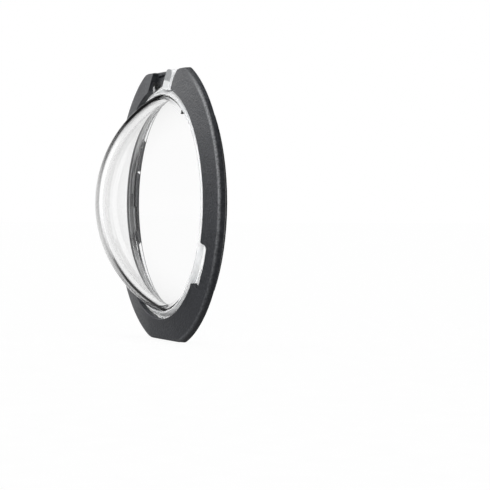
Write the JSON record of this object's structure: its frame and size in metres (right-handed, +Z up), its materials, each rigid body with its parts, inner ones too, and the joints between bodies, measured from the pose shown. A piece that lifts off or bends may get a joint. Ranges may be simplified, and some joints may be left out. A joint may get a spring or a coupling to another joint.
{
  "type": "domed lens guard",
  "caption": "Clear dome in a twist-lock ring with a finger lever, held in a black frame with flats above and below, to shield a camera lens.",
  "frame": {"origin": "on the optical axis, in the plane where the rear frame's walls meet the camera", "axes": "+Z up towards the lever slot, optical axis along Y with the dome on the -Y side, +X to the right seen from the dome side"},
  "size_m": [0.0466, 0.0127, 0.0436],
  "materials": {
    "frame_plastic": "fine spark-eroded grain, satin",
    "clear_plastic": "clear moulded plastic, polished",
    "dome_clear": "optically clear, polished",
    "clear_cement": "clear cement bead",
    "washer_plastic": "milky slippery film",
    "spring_steel": "bright rolled strip"
  },
  "bodies": {
    "frame": {"front_frame": "frame_plastic", "rear_frame": "frame_plastic", "retaining_ring": "clear_plastic", "glide_washer": "washer_plastic", "detent_spring_left": "spring_steel", "detent_spring_right": "spring_steel"},
    "dome_ring": {"twist_ring": "clear_plastic", "dome_lens": "dome_clear", "dome_bond": "clear_cement"}
  },
  "joints": [
    {"name": "twist_lock", "type": "hinge", "parent": "frame", "child": "dome_ring", "pos_m": [0, 0, 0], "axis": [0, -1, 0], "range_deg": [0, 18]}
  ]
}
